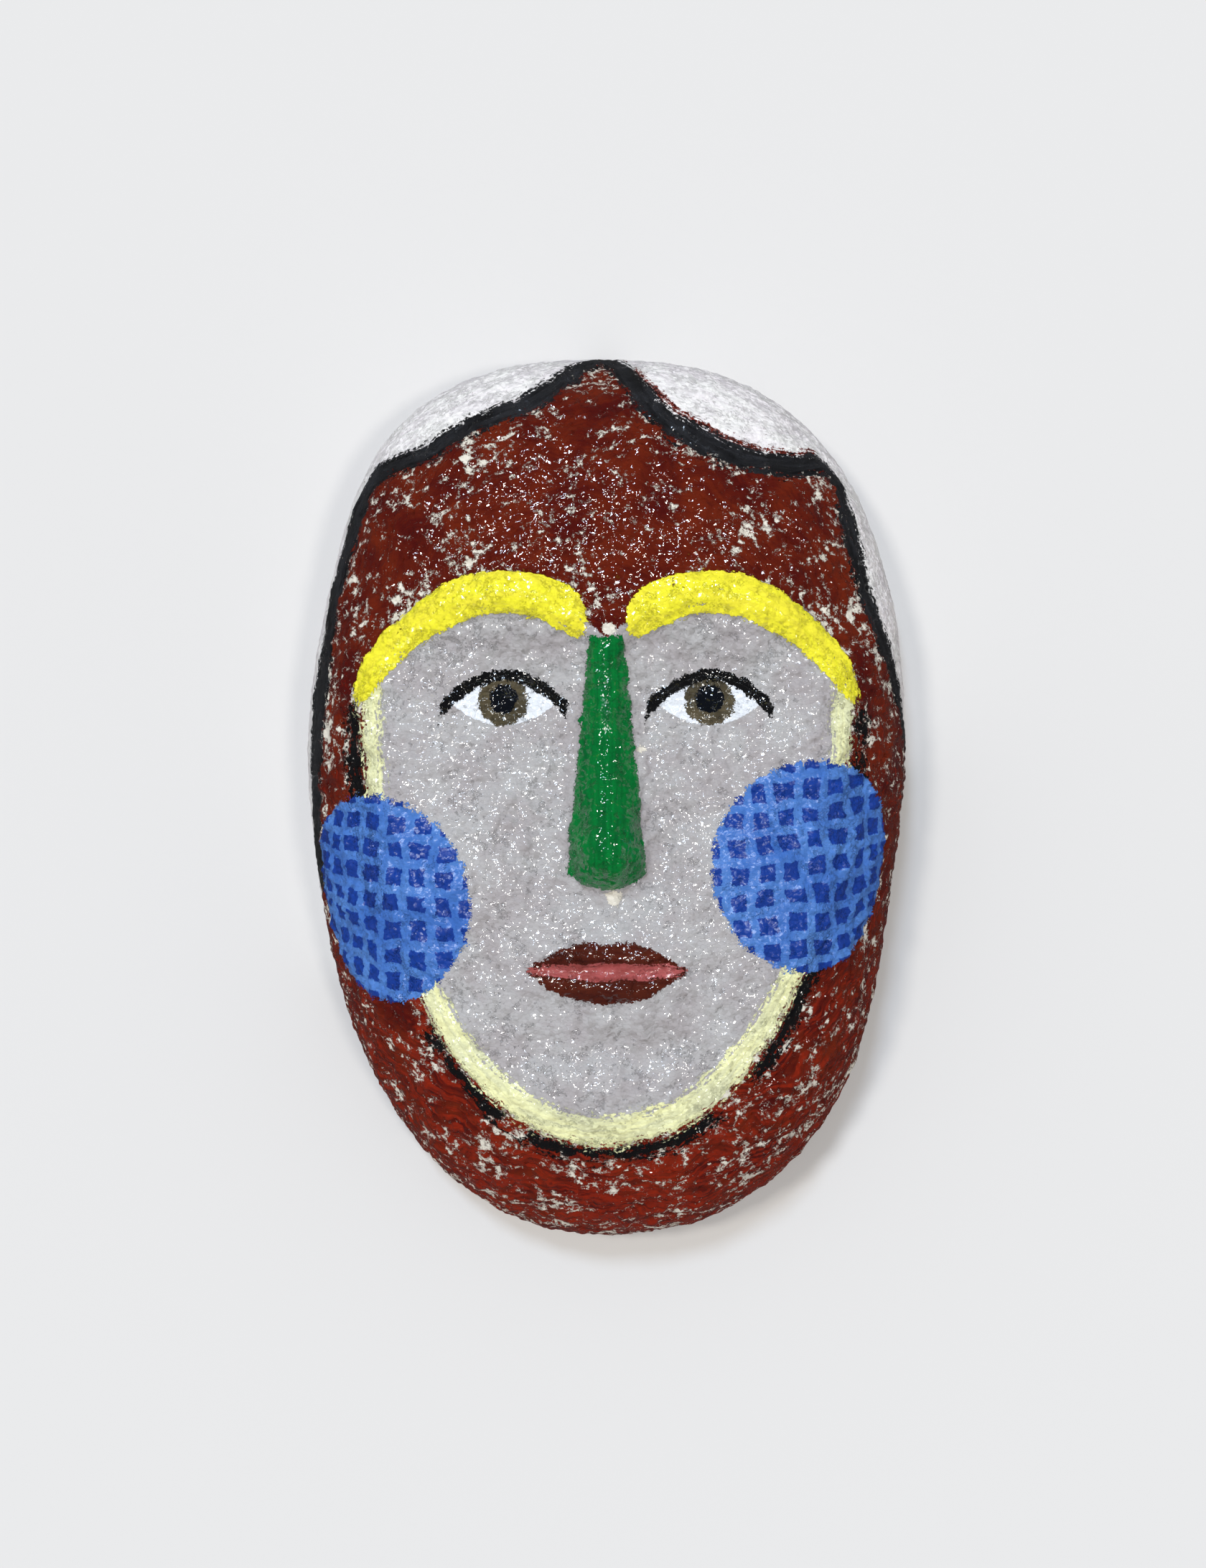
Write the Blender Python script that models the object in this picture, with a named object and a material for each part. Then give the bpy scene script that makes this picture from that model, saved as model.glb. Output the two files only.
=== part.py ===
"""A papier-mache face mask, lying face up on its rim.

The shell was formed over a mould and is open and hollow behind. The brows, the nose and the lips were
built up on the outside of it. The origin is on the ground under the middle of the mask. X runs across
the face, Y from the chin to the crown, and Z out of the face. Lengths are in metres.
"""

import bmesh
import bpy
import numpy as np

MM = 0.001

# The shell
MASK_HEIGHT = 290 * MM
MASK_WIDTH = 198 * MM
DOME_DEPTH = 74 * MM
WALL = 5 * MM

# The outline from the front: how far above the middle it is widest, and how square its two halves are
WIDEST_Y = 15 * MM
CROWN_SQUARENESS = 2.44
CHIN_SQUARENESS = 2.23
# Its hand-made swells and flats: the direction from the middle in degrees, and how far each stands out
SWELLS = (
    (60, 0.9 * MM),
    (90, 0.8 * MM),
    (120, 2.9 * MM),
    (150, -2.4 * MM),
    (210, -1.8 * MM),
    (240, -1.6 * MM),
    (300, 2.6 * MM),
    (330, -2.2 * MM),
)
SWELL_REACH = 30
OUTLINE_SAMPLES = 720

# The section from the middle of the face to the rim: a flat front that turns down steeply, and a rim
# that draws in again over the lowest share of the depth
FRONT_FLATNESS = 5.0
SIDE_ROUNDNESS = 2.1
RIM_CURL = 0.03
CURL_FROM = 0.26
SECTION_SAMPLES = 400
# The relief fades out below this share of the depth
RELIEF_FROM = 0.6

# The hood's rim round the face: above the hairline, below the chin and at each side
HOOD_ABOVE = 4 * MM
HOOD_BELOW = 36 * MM
HOOD_SIDE = 19 * MM

# The places of the features, on the drawing-book rule: equal thirds from the hairline to the brow, the
# nose's base and the chin, and five eye widths across the face
HAIRLINE_Y = MASK_HEIGHT / 2 - HOOD_ABOVE
CHIN_Y = HOOD_BELOW - MASK_HEIGHT / 2
FACE_WIDTH = MASK_WIDTH - 2 * HOOD_SIDE
THIRD = (HAIRLINE_Y - CHIN_Y) / 3
BROW_Y = HAIRLINE_Y - THIRD
NOSE_BASE_Y = BROW_Y - THIRD
EYE_Y = BROW_Y - THIRD / 3
MOUTH_Y = NOSE_BASE_Y - THIRD / 3
EYE_X = FACE_WIDTH / 5

# The swells of the face: how far each stands out or sinks in, how many times EYE_X its middle is from the
# midline, its height, and its reach as shares of EYE_X and of THIRD. Those off the midline are in pairs.
MOULDED = (
    ("forehead", 5 * MM, 0, BROW_Y + 0.34 * THIRD, 1.8, 0.46),
    ("eye sockets", -7.5 * MM, 1, EYE_Y + 0.05 * THIRD, 0.7, 0.17),
    ("cheeks", 4 * MM, 1.5, NOSE_BASE_Y, 0.8, 0.26),
    ("muzzle", 5 * MM, 0, MOUTH_Y, 0.85, 0.22),
    ("crease", -3.5 * MM, 0, MOUTH_Y - 0.3 * THIRD, 0.8, 0.085),
    ("chin", 6 * MM, 0, CHIN_Y + 0.17 * THIRD, 0.8, 0.2),
)
BUILT_UP = (
    ("eyeballs", 3 * MM, 1, EYE_Y, 0.47, 0.11),
    ("upper lip", 1.8 * MM, 0, MOUTH_Y + 0.055 * THIRD, 0.62, 0.035),
    ("lower lip", 1.8 * MM, 0, MOUTH_Y - 0.055 * THIRD, 0.62, 0.035),
    ("parting", -1.6 * MM, 0, MOUTH_Y, 0.62, 0.02),
)

# The brows, two arched ridges: the top of the arch, how far it falls at the nose, and its size
BROW_RISE = 3.5 * MM
BROW_TOP_Y = BROW_Y + 0.07 * THIRD
BROW_FALL = 0.17 * THIRD
BROW_HALF_LENGTH = 1.06 * EYE_X
BROW_HALF_WIDTH = 6 * MM

# The nose, a wedge that widens and rises to a rounded end
NOSE_TOP_Y = BROW_Y - 0.085 * THIRD
NOSE_TOP_HALF = 4.6 * MM
NOSE_END_HALF = 11 * MM
NOSE_TOP_RISE = 2.5 * MM
NOSE_END_RISE = 15 * MM
NOSE_BULB_RISE = 3 * MM
NOSE_END_LIFT = 4 * MM
NOSE_TURN = 2.2 * MM
NOSE_SQUARENESS = 2.6

# The unevenness of paper laid by hand: its height, and the lengths of its waves
UNEVENNESS = 0.7 * MM
WAVE_ACROSS = 68 * MM
WAVE_ALONG = 80 * MM
SLANT_ACROSS = 40 * MM
SLANT_ALONG = -57 * MM

# Facets
OUTER_COLUMNS = 52
OUTER_ROWS = 72
HOLLOW_COLUMNS = 26
HOLLOW_ROWS = 36
CENTRE_CROWDING = 0.42
SHARP_EDGE = np.radians(50)

CUT_BELOW = 2 * MM

PAINT_RED = (0.16, 0.018, 0.008, 1.0)
PAINT_ROUGHNESS = 0.45


def humps(x, y, table):
    """The smooth rounded humps and hollows of one table, added up."""
    relief = np.zeros_like(x)
    for _, rise, eyes_across, up, eyes_wide, thirds_high in table:
        across = (np.abs(x) / EYE_X - eyes_across) / eyes_wide
        along = (y - up) / THIRD / thirds_high
        relief += rise * np.exp(-(across**2) - along**2)
    return relief


def ramp(distance, turn):
    """From 0 to 1 as the distance goes from below zero to above it, within a few turns."""
    return 1 / (1 + np.exp(-distance / turn))


def brow_relief(x, y):
    """Two arched ridges over the eyes."""
    from_top = (np.abs(x) - EYE_X) / EYE_X
    ridge = BROW_TOP_Y - BROW_FALL * from_top**2
    along = np.exp(-((from_top * EYE_X / BROW_HALF_LENGTH) ** 4))
    return BROW_RISE * along * np.exp(-(((y - ridge) / BROW_HALF_WIDTH) ** 2))


def nose_relief(x, y):
    """A wedge that widens and rises from between the brows to a rounded end above the lip."""
    down = np.clip((NOSE_TOP_Y - y) / (NOSE_TOP_Y - NOSE_BASE_Y), 0, 1)
    half = NOSE_TOP_HALF + (NOSE_END_HALF - NOSE_TOP_HALF) * down
    rise = NOSE_TOP_RISE + (NOSE_END_RISE - NOSE_TOP_RISE) * down
    rise = rise + NOSE_BULB_RISE * np.exp(-(((y - NOSE_BASE_Y) / NOSE_END_HALF - 1) ** 2))
    section = np.exp(-((np.abs(x) / half) ** NOSE_SQUARENESS))
    # The end is round from the front as well: its sides turn under before its middle does.
    end_y = NOSE_BASE_Y + NOSE_END_LIFT * np.clip(np.abs(x) / NOSE_END_HALF, 0, 1.5) ** 2
    return rise * section * ramp(NOSE_TOP_Y - y, 2 * NOSE_TURN) * ramp(y - end_y, NOSE_TURN)


def unevenness(x, y):
    """Low, broad swells, as a hand leaves them."""
    across = 2 * np.pi * x
    along = 2 * np.pi * y
    slant = np.sin(across / SLANT_ACROSS + along / SLANT_ALONG)
    return UNEVENNESS * (np.sin(across / WAVE_ACROSS + 1) * np.sin(along / WAVE_ALONG) + slant / 2)


def hollow_relief(x, y):
    """What the mould and the hand gave the shell, inside and out."""
    return humps(x, y, MOULDED) + unevenness(x, y)


def outer_relief(x, y):
    """The same with what was built up on the outside."""
    return hollow_relief(x, y) + humps(x, y, BUILT_UP) + brow_relief(x, y) + nose_relief(x, y)


def hand_drawn_radius(angle):
    """How far the outline is from the point on its widest line, before it is fitted to its size."""
    up = np.sin(angle) >= 0
    half_height = np.where(up, MASK_HEIGHT / 2 - WIDEST_Y, MASK_HEIGHT / 2 + WIDEST_Y)
    power = np.where(up, CROWN_SQUARENESS, CHIN_SQUARENESS)
    across = np.abs(np.cos(angle)) / (MASK_WIDTH / 2)
    along = np.abs(np.sin(angle)) / half_height
    radius = (across**power + along**power) ** (-1 / power)
    for direction, size in SWELLS:
        away = (np.degrees(angle) - direction + 180) % 360 - 180
        nearness = np.clip(1 - np.abs(away) / SWELL_REACH, 0, 1)
        radius += size * np.sin(nearness * np.pi / 2) ** 2
    return radius


def outline_box():
    """The middle of the hand-drawn outline, and what brings it to the mask's width and height."""
    angle = np.linspace(-np.pi, np.pi, OUTLINE_SAMPLES)
    radius = hand_drawn_radius(angle)
    x = radius * np.cos(angle)
    y = radius * np.sin(angle)
    middle = ((x.max() + x.min()) / 2, (y.max() + y.min()) / 2)
    return middle, (MASK_WIDTH / np.ptp(x), MASK_HEIGHT / np.ptp(y))


def dome_section(distance):
    """(share of the outline's radius, share of the depth) at a share of the way from middle to rim."""
    turn = np.linspace(0, np.pi / 2, SECTION_SAMPLES)
    height = np.abs(np.cos(turn)) ** (2 / SIDE_ROUNDNESS)
    height[-1] = 0
    reach = np.sin(turn) ** (2 / FRONT_FLATNESS)
    reach *= 1 - RIM_CURL * np.clip(1 - height / CURL_FROM, 0, 1) ** 2
    reach /= reach.max()
    steps = np.hypot(np.diff(reach) * (MASK_WIDTH + MASK_HEIGHT) / 4, np.diff(height) * DOME_DEPTH)
    travelled = np.concatenate([[0], np.cumsum(steps)])
    travelled /= travelled[-1]
    return np.interp(distance, travelled, reach), np.interp(distance, travelled, height)


def shell_surface(u, v, inset, relief):
    """The places of the shell over the square from -1 to 1, inset from its outside by a wall."""
    across = u * np.sqrt(1 - v**2 / 2)
    along = v * np.sqrt(1 - u**2 / 2)
    reach, height = dome_section(np.clip(np.hypot(across, along), 0, 1))
    angle = np.arctan2(along, across)
    middle, size = outline_box()
    radius = hand_drawn_radius(angle) - inset
    x = (reach * radius * np.cos(angle) - middle[0]) * size[0]
    y = (reach * radius * np.sin(angle) - middle[1]) * size[1]
    fade = np.clip(height / RELIEF_FROM, 0, 1)
    fade = fade**2 * (3 - 2 * fade)
    z = height * (DOME_DEPTH - inset) + fade * relief(x, y)
    return x, y, z


def crowded(places):
    """Grid lines drawn together towards the middle of the face, where the features are finest."""
    return places * (1 - CENTRE_CROWDING * (1 - places**2))


def shell_mesh(name, columns, rows, inset, relief, depth_below):
    """A grid laid over the face, its rim moved down by depth_below and closed flat."""
    mesh = bmesh.new()
    bmesh.ops.create_grid(mesh, x_segments=columns, y_segments=rows, size=1)
    places = np.array([vert.co for vert in mesh.verts])
    surface = shell_surface(crowded(places[:, 0]), crowded(places[:, 1]), inset, relief)
    for vert, place in zip(mesh.verts, np.transpose(surface)):
        vert.co = place
    lowered = [vert for vert in mesh.verts if vert.is_boundary]
    bmesh.ops.translate(mesh, verts=lowered, vec=(0, 0, -depth_below))
    bmesh.ops.contextual_create(mesh, geom=[edge for edge in mesh.edges if edge.is_boundary])
    bmesh.ops.recalc_face_normals(mesh, faces=mesh.faces)
    data = bpy.data.meshes.new(name)
    mesh.to_mesh(data)
    mesh.free()
    return data


def paint_material():
    material = bpy.data.materials.new("painted paper")
    material.use_nodes = True
    shader = material.node_tree.nodes["Principled BSDF"]
    shader.inputs["Base Color"].default_value = PAINT_RED
    shader.inputs["Roughness"].default_value = PAINT_ROUGHNESS
    shader.inputs["Metallic"].default_value = 0
    return material


def add_object(name, data, collection):
    made = bpy.data.objects.new(name, data)
    collection.objects.link(made)
    return made


def new_collection(name):
    collection = bpy.data.collections.new(name)
    bpy.context.scene.collection.children.link(collection)
    return collection


def main():
    for old in list(bpy.data.objects):
        bpy.data.objects.remove(old)
    parts = new_collection("Face mask")
    cutters = new_collection("Cutters")

    shell = shell_mesh("mask", OUTER_COLUMNS, OUTER_ROWS, 0, outer_relief, 0)
    hollow = shell_mesh("hollow", HOLLOW_COLUMNS, HOLLOW_ROWS, WALL, hollow_relief, CUT_BELOW)
    mask = add_object("mask", shell, parts)
    cutter = add_object("hollow", hollow, cutters)
    cutter.hide_render = True
    cutter.display_type = "WIRE"

    cut = mask.modifiers.new("hollow", "BOOLEAN")
    cut.operation = "DIFFERENCE"
    cut.object = cutter

    mask.data.shade_smooth()
    mask.data.set_sharp_from_angle(angle=SHARP_EDGE)
    mask.data.materials.append(paint_material())


main()
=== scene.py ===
"""The painted papier-mache face mask: its pulp surface, its coats of paint, and the stage it lies on.

The mask lies face up on its rim. X runs across the face, Y from the chin to the crown, and Z out of the
face. Shapes and paint are laid out in millimetres, and turned into metres when the mesh is made.
"""

import bmesh
import bpy
import numpy as np
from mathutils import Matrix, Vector, noise


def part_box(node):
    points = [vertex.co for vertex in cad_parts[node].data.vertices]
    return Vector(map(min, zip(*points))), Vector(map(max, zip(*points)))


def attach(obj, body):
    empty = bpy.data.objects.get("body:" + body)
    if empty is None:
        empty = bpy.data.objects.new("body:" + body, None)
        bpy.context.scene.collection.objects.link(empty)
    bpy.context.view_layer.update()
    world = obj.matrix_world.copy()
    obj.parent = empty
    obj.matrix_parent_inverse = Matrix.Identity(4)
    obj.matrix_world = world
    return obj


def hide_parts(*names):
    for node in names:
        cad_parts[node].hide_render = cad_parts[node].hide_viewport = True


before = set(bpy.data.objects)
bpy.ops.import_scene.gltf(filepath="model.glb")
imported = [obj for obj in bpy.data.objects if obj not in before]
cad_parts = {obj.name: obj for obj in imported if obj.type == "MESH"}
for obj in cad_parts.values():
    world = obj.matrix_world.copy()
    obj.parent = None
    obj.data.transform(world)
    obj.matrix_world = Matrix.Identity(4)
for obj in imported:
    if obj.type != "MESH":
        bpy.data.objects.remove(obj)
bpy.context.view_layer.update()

bl_info = {
    "name": "Painted paper mask",
    "version": (1, 0, 0),
    "blender": (4, 5, 0),
    "location": "3D View > Sidebar > Mask",
    "description": "Forms and paints a papier-mache face mask and lays it on a pale table",
    "category": "Object",
}

MM = 0.001
LOW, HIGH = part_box("mask")
MASK_WIDTH = (HIGH.x - LOW.x) / MM
MASK_HEIGHT = (HIGH.y - LOW.y) / MM

# The outline from the front: how far above the middle it is widest, and how square its two halves are
WIDEST_Y = 15
CROWN_SQUARENESS = 2.44
CHIN_SQUARENESS = 2.23
# Its hand-made swells and flats: the direction from the middle in degrees, and how far each stands out
SWELLS = ((60, 0.9), (90, 0.8), (120, 2.9), (150, -2.4), (210, -1.8), (240, -1.6), (300, 2.6), (330, -2.2))
SWELL_REACH = 30
OUTLINE_SAMPLES = 720

# The section from the middle of the face to the rim: a flat front, round sides, and a rim that draws in
# again over the lowest part of the depth. The relief fades out towards the rim, from a share of the depth.
FRONT_FLATNESS = 5.0
SIDE_ROUNDNESS = 2.1
RIM_CURL = 0.03
CURL_FROM = 0.26
SECTION_SAMPLES = 400
RADIUS_SAMPLES = 24
RELIEF_FROM = 0.6

# The hood's rim round the face: above the hairline, below the chin and at each side
HOOD_ABOVE = 4
HOOD_BELOW = 36
HOOD_SIDE = 19

# The places of the features, on the drawing-book rule: equal thirds from the hairline to the brow, the
# nose's base and the chin, and five eye widths across the face
HAIRLINE_Y = MASK_HEIGHT / 2 - HOOD_ABOVE
CHIN_Y = HOOD_BELOW - MASK_HEIGHT / 2
FACE_WIDTH = MASK_WIDTH - 2 * HOOD_SIDE
THIRD = (HAIRLINE_Y - CHIN_Y) / 3
BROW_Y = HAIRLINE_Y - THIRD
NOSE_BASE_Y = BROW_Y - THIRD
EYE_Y = BROW_Y - THIRD / 3
MOUTH_Y = NOSE_BASE_Y - THIRD / 3
EYE_X = FACE_WIDTH / 5

# The swells of the face: how far each stands out or sinks in, how many times EYE_X its middle is from the
# midline, its height, and its reach as shares of EYE_X and of THIRD. Those off the midline are in pairs.
MOULDED = (
    ("forehead", 5, 0, BROW_Y + 0.34 * THIRD, 1.8, 0.46),
    ("eye sockets", -7.5, 1, EYE_Y + 0.05 * THIRD, 0.7, 0.17),
    ("cheeks", 4, 1.5, NOSE_BASE_Y, 0.8, 0.26),
    ("muzzle", 5, 0, MOUTH_Y, 0.85, 0.22),
    ("crease", -3.5, 0, MOUTH_Y - 0.3 * THIRD, 0.8, 0.085),
    ("chin", 6, 0, CHIN_Y + 0.17 * THIRD, 0.8, 0.2),
)
BUILT_UP = (
    ("eyeballs", 3, 1, EYE_Y, 0.47, 0.11),
    ("upper lip", 1.8, 0, MOUTH_Y + 0.055 * THIRD, 0.62, 0.035),
    ("lower lip", 1.8, 0, MOUTH_Y - 0.055 * THIRD, 0.62, 0.035),
    ("parting", -1.6, 0, MOUTH_Y, 0.62, 0.02),
)

# The brows, two arched ridges
BROW_RISE = 3.5
BROW_TOP_Y = BROW_Y + 0.07 * THIRD
BROW_FALL = 0.17 * THIRD
BROW_HALF_LENGTH = 1.06 * EYE_X
BROW_HALF_WIDTH = 6

# The nose, a wedge that widens and rises to a rounded end
NOSE_TOP_Y = BROW_Y - 0.085 * THIRD
NOSE_TOP_HALF = 4.6
NOSE_END_HALF = 11
NOSE_TOP_RISE = 2.5
NOSE_END_RISE = 15
NOSE_BULB_RISE = 3
NOSE_END_LIFT = 4
NOSE_TURN = 2.2
NOSE_SQUARENESS = 2.6

# The unevenness of paper laid by hand: its height, and the lengths of its waves
UNEVENNESS = 0.7
WAVE_ACROSS = 68
WAVE_ALONG = 80
SLANT_ACROSS = 40
SLANT_ALONG = -57

# The lumps of pulp, coarse, middling and fine: their width and height as shares of the form's values, and
# the shifts that keep their noises apart. All of them are sunk by one more share of the height.
LUMP_WIDTHS = (2.4, 1, 0.6)
LUMP_HEIGHTS = (0.7, 1, 0.25)
LUMP_SHIFTS = (0, 40, 90)
LUMPS_SUNK = 0.3
# Their share of the full height towards the rim, how far from the rim they are full, and where they fade
# out so that the rim lies flat
SIDE_LUMPS = 0.35
SMOOTH_REACH = 60
RIM_FADE = 4
ON_RIM = 0.01

# The paint's height, as shares of the form's value: the thick paint, its ridges and the thin paint, and how
# softly each ends. Thick and white paint also fill a share of the lumps under them.
THICK_PAINT = 0.5
RIDGES = 2.6
RIDGE_WIDTH = 2
THIN_PAINT = 0.3
PAINT_EDGE = 0.35
THICK_FILLS = 0.35
WHITE_FILLS = 0.45
WHITE_EDGE = 2

# The grids of the fine mesh: its painted side and its hollow
COLUMNS = 262
ROWS = 336
HOLLOW_COLUMNS = 76
HOLLOW_ROWS = 98
CENTRE_CROWDING = 0.3

# The black lines of the hood, from the middle of the crown over the corners to the sides, seen from the
# front. The left one is nearly straight, and the right one hangs in scallops.
LEFT_LINE = ((-1, 144), (-19, 128.5), (-41, 118), (-58, 108.5), (-75, 102), (-81.5, 87), (-87, 69),
             (-90.5, 50), (-92.8, 32))
RIGHT_LINE = ((-1, 144), (13, 125), (26, 114), (44, 106), (60, 105), (71, 106), (75, 97), (79, 78),
              (84, 60), (90, 46), (95, 32))
# Half their width, and the same at the left line's lower end, which widens from this far from the midline
HOOD_LINE_HALF = 4.7
LEFT_SIDE_HALF = 8
LEFT_SIDE_FROM = 68
LEFT_SIDE_OVER = 14
# The red smear outside the right line: half its width, its middle and half its length
SMEAR_HALF = 1.6
SMEAR_X = 38
SMEAR_REACH = 32
# The steps of a line between two of its points, and how far it runs on past its ends
LINE_SPAN_STEPS = 10
RUN_ON = 70

# The face's oval edge, and the pale band and the black line along it
OVAL_INSET = 6
OVAL_HALF = FACE_WIDTH / 2 - OVAL_INSET
OVAL_TOP_Y = 38
OVAL_SQUARENESS = 2.1
BAND_HALF = 5
BAND_TAPER = 0.35
OUTLINE_HALF = 2.8
OUTLINE_BELOW_BROW = 2

# The painted brows and eyes
BROW_PAINT_HALF = 6.6
BROW_TAPER = 5
BROW_INNER_X = 6
EYE_HALF = 17
EYE_UPPER = 8.2
EYE_LOWER = 7.4
IRIS_RADIUS = 7.8
IRIS_LIFT = 0.4
PUPIL_RADIUS = 4.5
PUPIL_LIFT = 0.8
LASH_HALF = 1.8
LASH_OVERHANG = 2.6

# The lips
LIPS_HALF = 25
LIPS_UPPER = 9.6
LIPS_LOWER = 10.2
BOW_DEPTH = 1.6
BOW_REACH = 4
PARTING_HALF = 2.3
PARTING_END_HALF = 0.2

# The green paint of the nose: how much wider it is than the nose, and how far it goes past its lower edge
NOSE_PAINT_WIDER = 1.12
NOSE_PAINT_PAST = 2.5

# The blue discs on the cheeks: their middles seen from the front and the tilts of their grids in degrees
DISCS = (((-73.5, -32), -1.5), ((65.5, -21.5), 5))
DISC_RADIUS = 33.5
GRID_PITCH = 8.4
GRID_HALF = 1.55
GRID_WOBBLE = 6.0

# The rings that the brush went round in, for the hood and for the brows: their middle and usual radius
HOOD_RINGS = (0, 25)
HOOD_RING_RADIUS = 70
BROW_RINGS = (EYE_X, EYE_Y - 5)
BROW_RING_RADIUS = 36

# Small places that the paint never covered: the middle and the radius
BARE_PLACES = ((2.5, NOSE_BASE_Y - 5, 2.6), (11, EYE_Y - 15, 1.4), (0.5, NOSE_TOP_Y + 1.5, 2.2))

# The wear of the hood: its share everywhere, and the reach and the share of what adds to it
WEAR_EVERYWHERE = 0.2
LINE_WEAR = (9, 0.35)
LEFT_BROW_WEAR = (11, 0.4)
RIGHT_BROW_WEAR = (11, 0.2)
OUTLINE_WEAR = (3, 0.35)
RIM_WEAR = (50, 0.3)
# Towards the chin: the height that it starts at, how far below that it is full, and its share there
CHIN_WEAR = (-40, 70, 0.15)

# The material: the roughness of the hood's paint, the primer and the bare pulp, the thickness of the hood's
# paint, and how strongly all of it reflects
HOOD_ROUGHNESS = 0.08
PRIMER_ROUGHNESS = 0.5
PULP_ROUGHNESS = 0.85
HOOD_THICKNESS = 0.12
REFLECTION = 0.68
# How far the hood's brush strokes wander, how much its bright red fades for each millimetre up, and how far
# in under the rim the paint ends. That fade is partly the paint's own and partly painted light: the lower
# hood is painted brighter, as if lit from below.
STROKE_WANDER = 24
BRIGHT_AND_PAINTED_LIGHT_FALL = 0.0012
PAINT_UNDER_RIM = 1.5

# Far outside every painted zone, for the vertices of the hollow
NOWHERE = -50.0

# The bake map: half the size and the middle of its two grids, and between them the strip for the rim's
# underside, with room for the face that crosses its seam
HOLLOW_MAP = ((0.49, 0.065), (0.5, 0.075))
PAINTED_MAP = ((0.49, 0.41), (0.5, 0.58))
STRIP_LEFT = 0.02
STRIP_LENGTH = 0.96
STRIP_LOW = 0.15
STRIP_HEIGHT = 0.01
SEAM_ROOM = 1.01

# The lights: the angle that each covers in degrees, the direction that it comes from, and its tint
COOL = (0.66, 0.81, 1)
WARM = (1, 0.97, 0.9)
UPPER_LIGHT = (9, (-0.2, 0.5, 1), COOL)
LEFT_LIGHT = (8, (-0.41, 0.2, 1), WARM)
RIGHT_LIGHT = (8, (0.34, -0.14, 1), WARM)
RIGHT_SHARE = 0.7

# Half the table's side, and the camera's place over it, in metres
TABLE_HALF = 4
CAMERA_X = -0.0011
CAMERA_Y = 0.0043


def colour(red, green, blue):
    """A display colour of 0 to 255 as the shader reads it."""
    shares = np.array((red, green, blue)) / 255
    linear = np.where(shares > 0.04045, ((shares + 0.055) / 1.055) ** 2.4, shares / 12.92)
    return (*map(float, linear), 1.0)


def colour_property(name, description, red, green, blue):
    default = colour(red, green, blue)
    return bpy.props.FloatVectorProperty(
        name=name, description=description, subtype="COLOR", size=4, min=0, max=1, default=default
    )


def number_property(name, description, default, lowest, highest, **kind):
    return bpy.props.FloatProperty(
        name=name, description=description, default=default, min=lowest, max=highest, **kind
    )


class MaskForm(bpy.types.PropertyGroup):
    """The sizes of the mask's shell and of its surface, in millimetres."""

    dome_depth: number_property("Dome depth", "From the rim to the bare shell's front", 74, 30, 120)
    wall: number_property("Wall", "Thickness of the paper", 5, 2, 12)
    lump_size: number_property("Lump size", "Width of the lumps of pulp", 3.0, 1, 12)
    lump_height: number_property("Lump height", "Height of the lumps of pulp", 1.9, 0, 4)
    paint_height: number_property("Paint height", "Thickness of the thick paint", 0.55, 0, 2)


class MaskPaint(bpy.types.PropertyGroup):
    """The colours of the paints, and how worn they are."""

    primer: colour_property("Primer", "The cream ground under the paint", 233, 226, 212)
    pulp: colour_property("Pulp", "The bare paper inside", 176, 166, 150)
    pulp_dark: colour_property("Dark pulp", "The bare paper where it is stained", 142, 130, 114)
    hood: colour_property("Hood", "The red-brown of the hood", 108, 33, 12)
    hood_deep: colour_property("Deep hood", "The dark crimson in the hood", 78, 13, 9)
    hood_bright: colour_property("Bright hood", "The rust red in the hood", 142, 36, 14)
    white: colour_property("White", "The white beside the hood", 254, 252, 249)
    lavender: colour_property("Lavender", "The tint in the white", 248, 241, 244)
    black: colour_property("Black", "The lines", 13, 13, 15)
    black_worn: colour_property("Worn black", "The lines of the hood where they are thin", 42, 43, 47)
    grey: colour_property("Grey", "The face", 189, 187, 188)
    grey_warm: colour_property("Warm grey", "The tint in the face", 178, 172, 174)
    pale: colour_property("Pale yellow", "The band round the face", 252, 251, 190)
    pale_worn: colour_property("Worn pale yellow", "The band where it is thin", 226, 227, 186)
    yellow: colour_property("Yellow", "The brows", 255, 247, 54)
    yellow_deep: colour_property("Deep yellow", "The brows where they are brushed thin", 253, 240, 64)
    blue: colour_property("Blue", "The cheek discs", 4, 62, 162)
    blue_deep: colour_property("Deep blue", "The darker tint in the discs", 8, 54, 146)
    light_blue: colour_property("Light blue", "The grid on the discs", 82, 134, 212)
    light_blue_thin: colour_property("Thin light blue", "The grid where it is thin", 60, 112, 198)
    green: colour_property("Green", "The nose", 0, 124, 52)
    green_deep: colour_property("Deep green", "The nose where it is darker", 0, 98, 44)
    brown: colour_property("Brown", "The lips", 88, 34, 20)
    brown_deep: colour_property("Deep brown", "The lips where they are darker", 66, 22, 16)
    pink: colour_property("Pink", "The parting of the lips", 188, 96, 96)
    pink_deep: colour_property("Deep pink", "The parting where it is thin", 150, 70, 66)
    eye: colour_property("Eye white", "The white of the eyes", 240, 244, 252)
    iris: colour_property("Iris", "The olive brown of the eyes", 94, 84, 64)
    iris_deep: colour_property("Deep iris", "The iris where it is darker", 68, 62, 48)
    pupil: colour_property("Pupil", "The blue black of the pupils", 8, 12, 20)
    wear: number_property("Wear", "How much primer shows in the hood", 0.5, 0, 1, subtype="FACTOR")


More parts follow.
